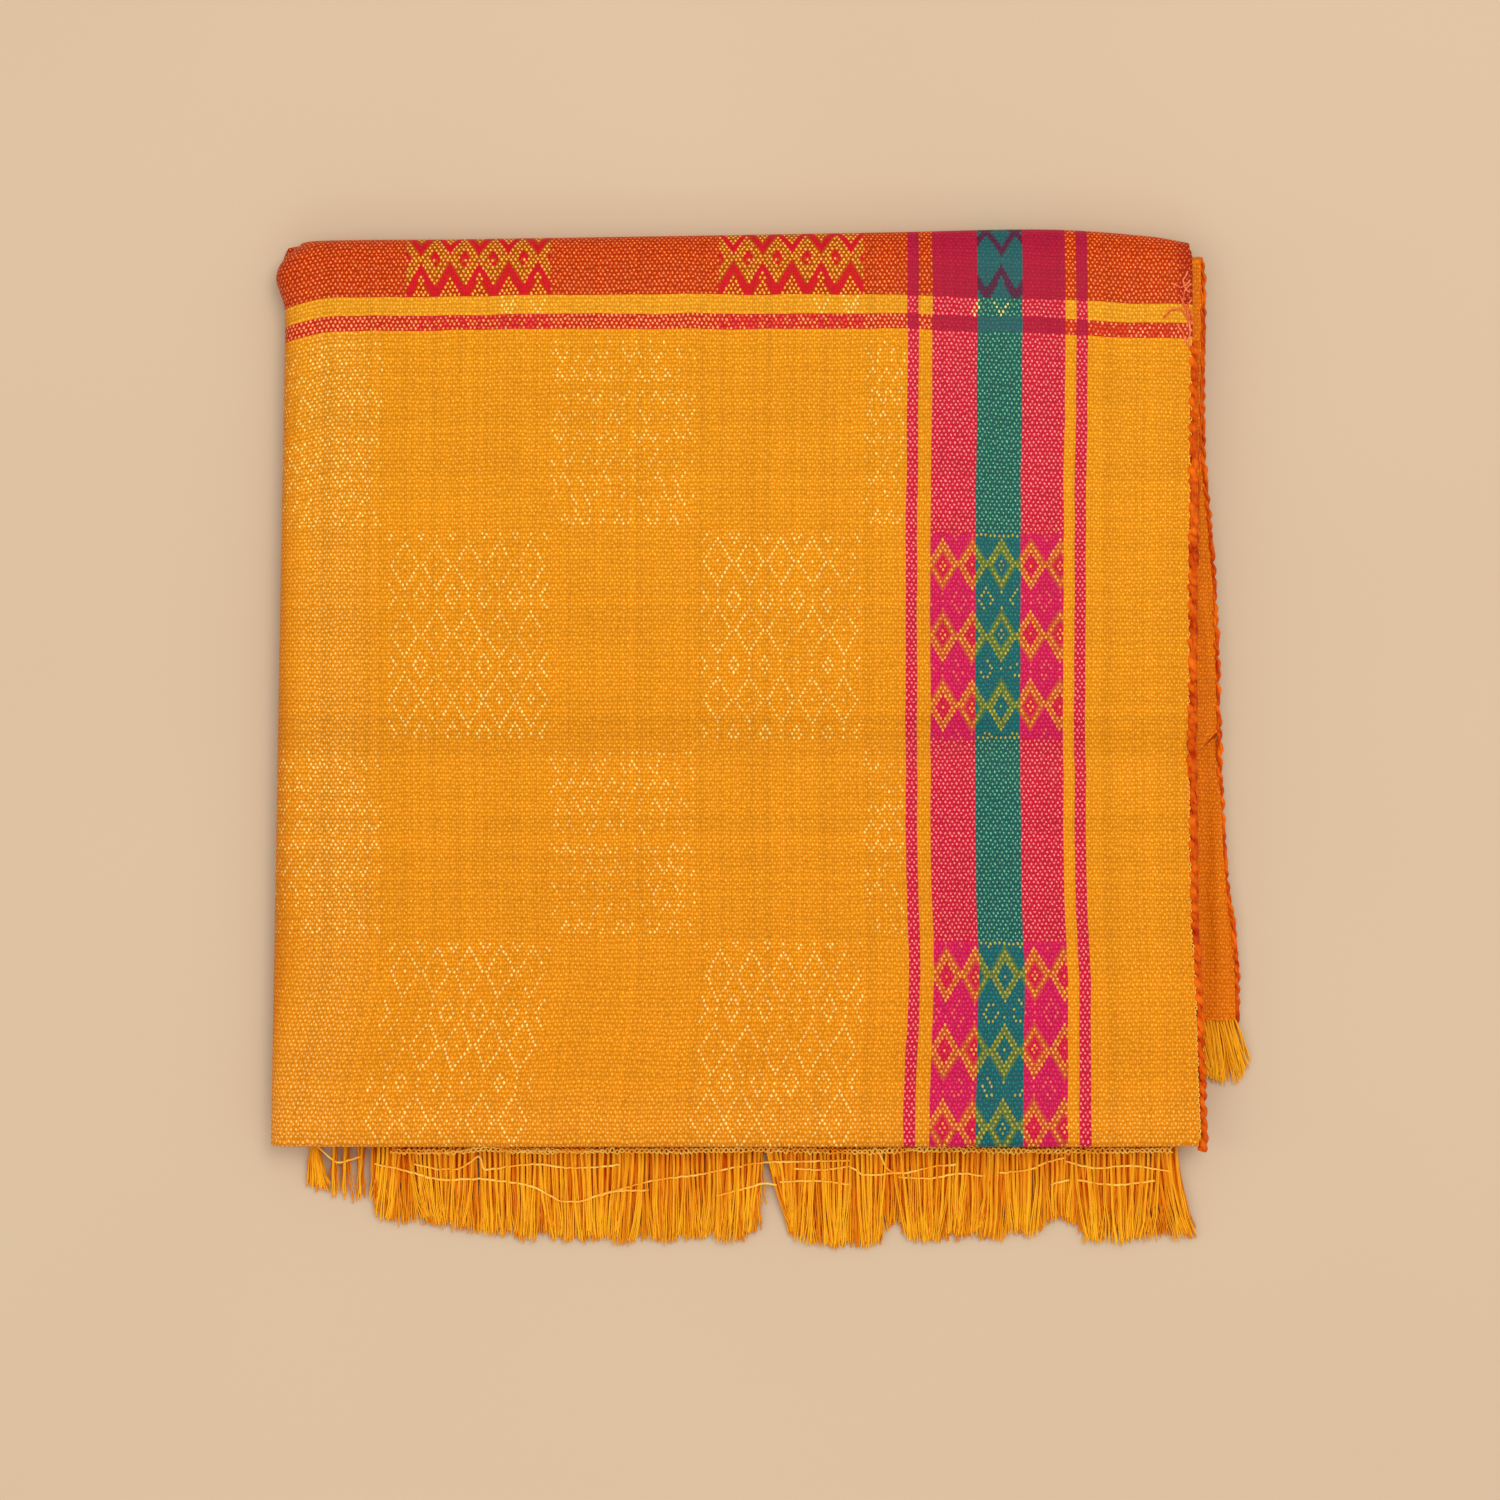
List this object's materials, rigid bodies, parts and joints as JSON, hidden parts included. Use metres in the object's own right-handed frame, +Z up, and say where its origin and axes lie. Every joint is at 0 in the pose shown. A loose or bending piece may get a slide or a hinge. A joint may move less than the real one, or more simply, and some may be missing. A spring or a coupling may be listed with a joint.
{
  "type": "folded dupatta stole",
  "caption": "Woven yellow stole with a red end band, pink and teal border stripes and a thread fringe, folded flat into a square packet.",
  "frame": {"origin": "centre of the packet's overall rectangle, in the plane it rests on", "axes": "+Z up from the surface, +Y towards the back roll with the red band, -Y towards the fringe, +X towards the side where the selvedges lie together"},
  "size_m": [0.3733, 0.3863, 0.0177],
  "materials": {
    "pallu_cloth": "plain weave, red weft over yellow warp, soft sheen",
    "body_cloth": "plain weave, yellow warp and golden weft, soft silky sheen",
    "selvedge_thread": "rolled woven edge, soft sheen",
    "fringe_thread": "loose silky yarn"
  },
  "bodies": {
    "root": {"pallu_panel": "pallu_cloth", "top_panel": "body_cloth", "middle_panel": "body_cloth", "end_panel": "body_cloth", "folded_core": "body_cloth", "selvedge_top": "selvedge_thread", "selvedge_end": "selvedge_thread", "pallu_fringe": "fringe_thread", "end_fringe": "fringe_thread"}
  },
  "joints": []
}
